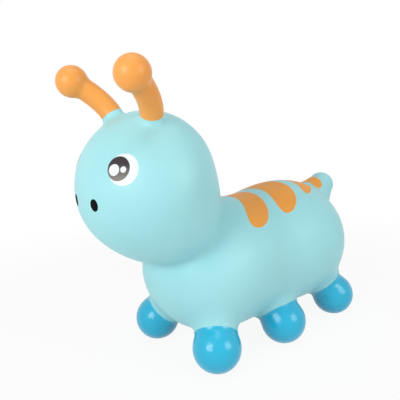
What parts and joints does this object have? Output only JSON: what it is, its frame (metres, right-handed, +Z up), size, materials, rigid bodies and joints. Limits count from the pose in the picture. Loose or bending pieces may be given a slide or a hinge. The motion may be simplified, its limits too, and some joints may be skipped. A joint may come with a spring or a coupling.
{
  "type": "inflatable hopping toy",
  "caption": "Air-filled ride-on hopping toy shaped as an inchworm, with ball feet to bounce on, a saddle back and ball-tipped antennae as grips.",
  "frame": {"origin": "on the floor, under the middle of the toy's length and width", "axes": "+X forward to the head, +Y to the toy's left, +Z up"},
  "size_m": [0.5592, 0.2526, 0.474],
  "materials": {
    "turquoise_vinyl": "soft vinyl, satin",
    "orange_vinyl": "soft vinyl, sprayed, low gloss",
    "blue_vinyl": "soft vinyl, sprayed, low gloss",
    "white_stopper": "moulded polyethylene",
    "orange_paint": "sprayed paint on vinyl",
    "white_print": "printed ink on vinyl",
    "charcoal_print": "printed ink on vinyl",
    "black_print": "sprayed paint on vinyl"
  },
  "bodies": {
    "skin": {"body_skin": "turquoise_vinyl", "foot_front_left": "blue_vinyl", "foot_front_right": "blue_vinyl", "foot_middle_left": "blue_vinyl", "foot_middle_right": "blue_vinyl", "foot_rear_left": "blue_vinyl", "foot_rear_right": "blue_vinyl", "back_stripe_1": "orange_paint", "back_stripe_2": "orange_paint", "back_stripe_3": "orange_paint", "back_stripe_4": "orange_paint", "eye_white_left": "white_print", "pupil_left": "charcoal_print", "eye_glint_large_left": "white_print", "eye_glint_small_left": "white_print", "nostril_left": "black_print", "eye_white_right": "white_print", "pupil_right": "charcoal_print", "eye_glint_large_right": "white_print", "eye_glint_small_right": "white_print", "nostril_right": "black_print"},
    "antenna_left": {"antenna_left": "orange_vinyl"},
    "antenna_right": {"antenna_right": "orange_vinyl"},
    "plug": {"valve_plug": "white_stopper"}
  },
  "joints": [
    {"name": "antenna_left_flex", "type": "hinge", "parent": "skin", "child": "antenna_left", "pos_m": [0.19591, 0.05, 0.394], "axis": [0, 1, 0], "range_deg": [-15, 15], "stiffness_Nm_per_rad": 5},
    {"name": "antenna_right_flex", "type": "hinge", "parent": "skin", "child": "antenna_right", "pos_m": [0.19591, -0.05, 0.394], "axis": [0, 1, 0], "range_deg": [-15, 15], "stiffness_Nm_per_rad": 5},
    {"name": "valve_plug_pull", "type": "slide", "parent": "skin", "child": "plug", "axis": [0, 0, -1], "range_m": [0, 0.02]}
  ]
}
